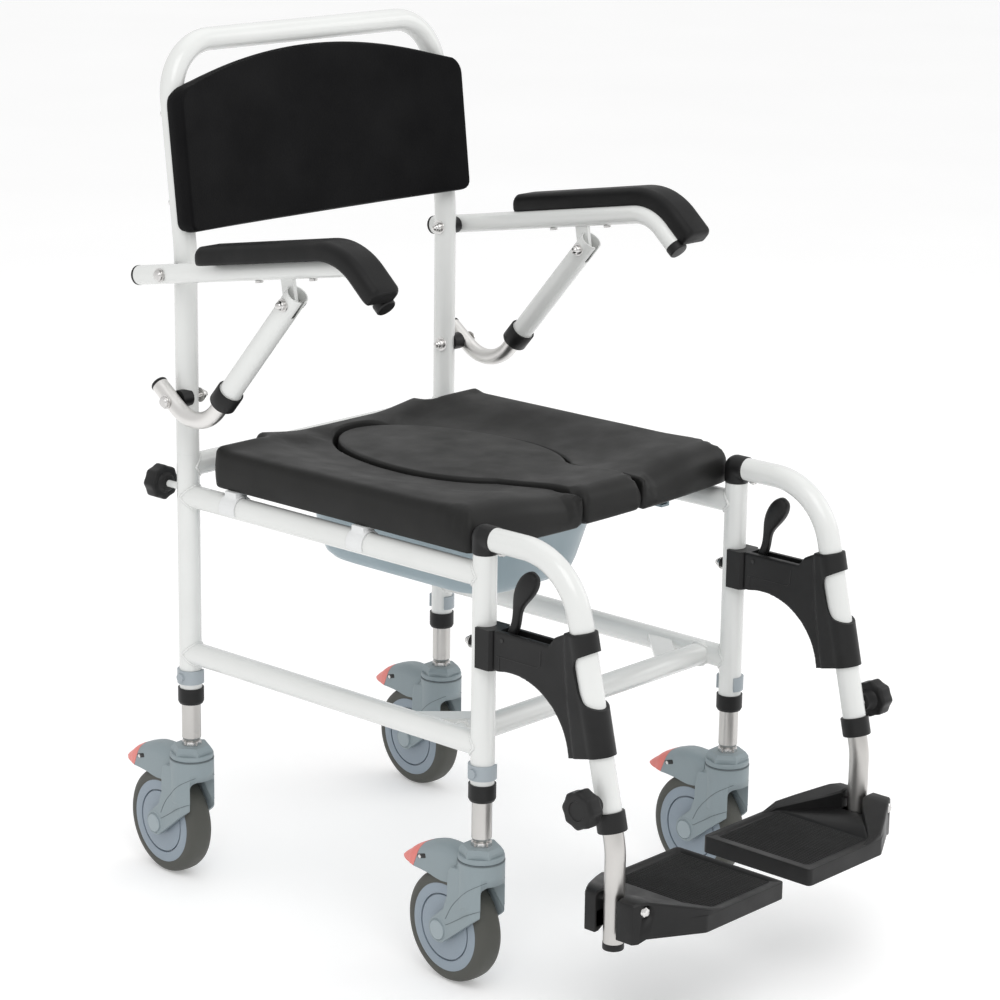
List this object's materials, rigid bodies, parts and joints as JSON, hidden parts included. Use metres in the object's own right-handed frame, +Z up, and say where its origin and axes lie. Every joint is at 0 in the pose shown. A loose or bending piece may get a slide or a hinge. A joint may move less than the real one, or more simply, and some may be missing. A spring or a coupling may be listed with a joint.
{
  "type": "wheeled commode chair",
  "caption": "Wheeled commode and shower chair with padded seat and insert, slide-out pan, swing-up armrests, swing-away footrests and braked swivel casters.",
  "frame": {"origin": "on the floor under the centre of the chair's bounding box", "axes": "+X to the sitter's left, -Y the way the sitter faces, +Z up from the floor"},
  "size_m": [0.539, 0.8349, 0.9835],
  "materials": {
    "white_enamel": "gloss powder coat",
    "satin_aluminium": "satin",
    "bright_steel": "bright zinc",
    "black_plastic": "matte",
    "grey_plastic": "satin",
    "rim_grey": "satin",
    "tyre_grey": "matte",
    "seat_vinyl": "fine matte grain",
    "back_vinyl": "leather grain",
    "armrest_foam": "matte skin",
    "clip_blue_grey": "satin",
    "clip_white": "satin"
  },
  "bodies": {
    "frame": {"frame_legs": "white_enamel", "frame_rails": "white_enamel", "leg_collars": "black_plastic", "height_clips": "clip_blue_grey", "latch_catches": "black_plastic"},
    "seat": {"seat_pad": "seat_vinyl", "seat_clips": "clip_white", "pan_rails": "grey_plastic"},
    "insert": {"seat_insert": "seat_vinyl"},
    "pan": {"commode_pan": "grey_plastic"},
    "backrest": {"backrest_frame": "white_enamel", "backrest_pad": "back_vinyl", "backrest_hardware": "bright_steel", "armrest_spacers": "black_plastic"},
    "back_knob_right": {"back_knob_right": "black_plastic"},
    "armrest_right": {"armrest_tube_right": "white_enamel", "armrest_pad_right": "armrest_foam", "armrest_hardware_right": "bright_steel"},
    "strut_tube_right": {"strut_tube_right": "satin_aluminium"},
    "strut_sleeve_right": {"strut_sleeve_right": "white_enamel"},
    "hanger_right": {"hanger_tube_right": "white_enamel", "hanger_elbow_right": "black_plastic", "latch_bracket_right": "black_plastic"},
    "latch_lever_right": {"latch_lever_right": "black_plastic"},
    "footrest_right": {"footrest_tube_right": "satin_aluminium"},
    "footrest_knob_right": {"footrest_knob_right": "black_plastic"},
    "footplate_right": {"footplate_right": "black_plastic"},
    "back_knob_left": {"back_knob_left": "black_plastic"},
    "armrest_left": {"armrest_tube_left": "white_enamel", "armrest_pad_left": "armrest_foam", "armrest_hardware_left": "bright_steel"},
    "strut_tube_left": {"strut_tube_left": "satin_aluminium"},
    "strut_sleeve_left": {"strut_sleeve_left": "white_enamel"},
    "hanger_left": {"hanger_tube_left": "white_enamel", "hanger_elbow_left": "black_plastic", "latch_bracket_left": "black_plastic"},
    "latch_lever_left": {"latch_lever_left": "black_plastic"},
    "footrest_left": {"footrest_tube_left": "satin_aluminium"},
    "footrest_knob_left": {"footrest_knob_left": "black_plastic"},
    "footplate_left": {"footplate_left": "black_plastic"},
    "extension_front_right": {"leg_extension_fr": "satin_aluminium"},
    "fork_front_right": {"caster_fork_fr": "grey_plastic"},
    "wheel_front_right": {"caster_wheel_fr": "rim_grey", "caster_tyre_fr": "tyre_grey"},
    "brake_front_right": {"caster_brake_fr": "grey_plastic"},
    "extension_front_left": {"leg_extension_fl": "satin_aluminium"},
    "fork_front_left": {"caster_fork_fl": "grey_plastic"},
    "wheel_front_left": {"caster_wheel_fl": "rim_grey", "caster_tyre_fl": "tyre_grey"},
    "brake_front_left": {"caster_brake_fl": "grey_plastic"},
    "extension_rear_right": {"leg_extension_rr": "satin_aluminium"},
    "fork_rear_right": {"caster_fork_rr": "grey_plastic"},
    "wheel_rear_right": {"caster_wheel_rr": "rim_grey", "caster_tyre_rr": "tyre_grey"},
    "brake_rear_right": {"caster_brake_rr": "grey_plastic"},
    "extension_rear_left": {"leg_extension_rl": "satin_aluminium"},
    "fork_rear_left": {"caster_fork_rl": "grey_plastic"},
    "wheel_rear_left": {"caster_wheel_rl": "rim_grey", "caster_tyre_rl": "tyre_grey"},
    "brake_rear_left": {"caster_brake_rl": "grey_plastic"}
  },
  "joints": [
    {"name": "seat_lift", "type": "slide", "parent": "frame", "child": "seat", "axis": [0, 0, 1], "range_m": [0, 0.1]},
    {"name": "insert_lift", "type": "slide", "parent": "seat", "child": "insert", "axis": [0, 0, 1], "range_m": [0, 0.12]},
    {"name": "pan_slide", "type": "slide", "parent": "seat", "child": "pan", "axis": [0, 1, 0], "range_m": [0, 0.4]},
    {"name": "backrest_lift", "type": "slide", "parent": "frame", "child": "backrest", "axis": [0, 0, 1], "range_m": [0, 0.08]},
    {"name": "back_knob_turn_right", "type": "hinge", "parent": "frame", "child": "back_knob_right", "pos_m": [-0.2095, 0.351, 0.4705], "axis": [0, 1, 0], "continuous": true},
    {"name": "armrest_swing_right", "type": "hinge", "parent": "backrest", "child": "armrest_right", "pos_m": [-0.238, 0.2995, 0.721], "axis": [-1, 0, 0], "range_deg": [0, 85]},
    {"name": "strut_foot_right", "type": "hinge", "parent": "backrest", "child": "strut_tube_right", "pos_m": [-0.238, 0.2945, 0.5785], "axis": [-1, 0, 0], "range_deg": [0, 48]},
    {"name": "strut_head_right", "type": "hinge", "parent": "armrest_right", "child": "strut_sleeve_right", "pos_m": [-0.238, 0.1025, 0.716], "axis": [-1, 0, 0], "range_deg": [-38.5, 0]},
    {"name": "hanger_swing_right", "type": "hinge", "parent": "frame", "child": "hanger_right", "pos_m": [-0.2095, -0.156, 0.45], "axis": [0, 0, -1], "range_deg": [0, 90]},
    {"name": "latch_lever_pull_right", "type": "hinge", "parent": "hanger_right", "child": "latch_lever_right", "pos_m": [-0.2095, -0.193, 0.403], "axis": [-1, 0, 0], "range_deg": [0, 15], "stiffness_Nm_per_rad": 0.3, "springref_deg": -14.32},
    {"name": "footrest_slide_right", "type": "slide", "parent": "hanger_right", "child": "footrest_right", "axis": [0, -0.225, -0.9744], "range_m": [0, 0.06]},
    {"name": "footrest_knob_turn_right", "type": "hinge", "parent": "hanger_right", "child": "footrest_knob_right", "pos_m": [-0.2395, -0.32969, 0.2615], "axis": [-1, 0, 0], "continuous": true},
    {"name": "footplate_fold_right", "type": "hinge", "parent": "footrest_right", "child": "footplate_right", "pos_m": [-0.2095, -0.3414, 0.1556], "axis": [0, -1, 0], "range_deg": [0, 85]},
    {"name": "back_knob_turn_left", "type": "hinge", "parent": "frame", "child": "back_knob_left", "pos_m": [0.2095, 0.351, 0.4705], "axis": [0, 1, 0], "continuous": true},
    {"name": "armrest_swing_left", "type": "hinge", "parent": "backrest", "child": "armrest_left", "pos_m": [0.238, 0.2995, 0.721], "axis": [-1, 0, 0], "range_deg": [0, 85]},
    {"name": "strut_foot_left", "type": "hinge", "parent": "backrest", "child": "strut_tube_left", "pos_m": [0.238, 0.2945, 0.5785], "axis": [-1, 0, 0], "range_deg": [0, 48]},
    {"name": "strut_head_left", "type": "hinge", "parent": "armrest_left", "child": "strut_sleeve_left", "pos_m": [0.238, 0.1025, 0.716], "axis": [-1, 0, 0], "range_deg": [-38.5, 0]},
    {"name": "hanger_swing_left", "type": "hinge", "parent": "frame", "child": "hanger_left", "pos_m": [0.2095, -0.156, 0.45], "axis": [0, 0, 1], "range_deg": [0, 90]},
    {"name": "latch_lever_pull_left", "type": "hinge", "parent": "hanger_left", "child": "latch_lever_left", "pos_m": [0.2095, -0.193, 0.403], "axis": [-1, 0, 0], "range_deg": [0, 15], "stiffness_Nm_per_rad": 0.3, "springref_deg": -14.32},
    {"name": "footrest_slide_left", "type": "slide", "parent": "hanger_left", "child": "footrest_left", "axis": [0, -0.225, -0.9744], "range_m": [0, 0.06]},
    {"name": "footrest_knob_turn_left", "type": "hinge", "parent": "hanger_left", "child": "footrest_knob_left", "pos_m": [0.2395, -0.32969, 0.2615], "axis": [1, 0, 0], "continuous": true},
    {"name": "footplate_fold_left", "type": "hinge", "parent": "footrest_left", "child": "footplate_left", "pos_m": [0.2095, -0.3414, 0.1556], "axis": [0, 1, 0], "range_deg": [0, 85]},
    {"name": "leg_height_front_right", "type": "slide", "parent": "frame", "child": "extension_front_right", "axis": [0, 0, -1], "range_m": [-0.025, 0.05]},
    {"name": "caster_swivel_front_right", "type": "hinge", "parent": "extension_front_right", "child": "fork_front_right", "pos_m": [-0.2095, -0.156, 0.15], "axis": [0, 0, 1], "continuous": true},
    {"name": "wheel_spin_front_right", "type": "hinge", "parent": "fork_front_right", "child": "wheel_front_right", "pos_m": [-0.20593, -0.11516, 0.0625], "axis": [0.9962, -0.0872, 0], "continuous": true},
    {"name": "brake_press_front_right", "type": "hinge", "parent": "fork_front_right", "child": "brake_front_right", "pos_m": [-0.2068, -0.12512, 0.141], "axis": [-0.9962, 0.0872, 0], "range_deg": [0, 7]},
    {"name": "leg_height_front_left", "type": "slide", "parent": "frame", "child": "extension_front_left", "axis": [0, 0, -1], "range_m": [-0.025, 0.05]},
    {"name": "caster_swivel_front_left", "type": "hinge", "parent": "extension_front_left", "child": "fork_front_left", "pos_m": [0.2095, -0.156, 0.15], "axis": [0, 0, 1], "continuous": true},
    {"name": "wheel_spin_front_left", "type": "hinge", "parent": "fork_front_left", "child": "wheel_front_left", "pos_m": [0.21307, -0.11516, 0.0625], "axis": [0.9962, -0.0872, 0], "continuous": true},
    {"name": "brake_press_front_left", "type": "hinge", "parent": "fork_front_left", "child": "brake_front_left", "pos_m": [0.2122, -0.12512, 0.141], "axis": [-0.9962, 0.0872, 0], "range_deg": [0, 7]},
    {"name": "leg_height_rear_right", "type": "slide", "parent": "frame", "child": "extension_rear_right", "axis": [0, 0, -1], "range_m": [-0.025, 0.05]},
    {"name": "caster_swivel_rear_right", "type": "hinge", "parent": "extension_rear_right", "child": "fork_rear_right", "pos_m": [-0.2095, 0.301, 0.15], "axis": [0, 0, 1], "continuous": true},
    {"name": "wheel_spin_rear_right", "type": "hinge", "parent": "fork_rear_right", "child": "wheel_rear_right", "pos_m": [-0.20593, 0.34184, 0.0625], "axis": [0.9962, -0.0872, 0], "continuous": true},
    {"name": "brake_press_rear_right", "type": "hinge", "parent": "fork_rear_right", "child": "brake_rear_right", "pos_m": [-0.2068, 0.33188, 0.141], "axis": [-0.9962, 0.0872, 0], "range_deg": [0, 7]},
    {"name": "leg_height_rear_left", "type": "slide", "parent": "frame", "child": "extension_rear_left", "axis": [0, 0, -1], "range_m": [-0.025, 0.05]},
    {"name": "caster_swivel_rear_left", "type": "hinge", "parent": "extension_rear_left", "child": "fork_rear_left", "pos_m": [0.2095, 0.301, 0.15], "axis": [0, 0, 1], "continuous": true},
    {"name": "wheel_spin_rear_left", "type": "hinge", "parent": "fork_rear_left", "child": "wheel_rear_left", "pos_m": [0.21307, 0.34184, 0.0625], "axis": [0.9962, -0.0872, 0], "continuous": true},
    {"name": "brake_press_rear_left", "type": "hinge", "parent": "fork_rear_left", "child": "brake_rear_left", "pos_m": [0.2122, 0.33188, 0.141], "axis": [-0.9962, 0.0872, 0], "range_deg": [0, 7]}
  ],
  "couplings": [
    {"joint": "strut_foot_right", "follows": "armrest_swing_right", "ratio": 0.555},
    {"joint": "strut_head_right", "follows": "armrest_swing_right", "ratio": -0.445},
    {"joint": "strut_foot_left", "follows": "armrest_swing_left", "ratio": 0.555},
    {"joint": "strut_head_left", "follows": "armrest_swing_left", "ratio": -0.445}
  ]
}
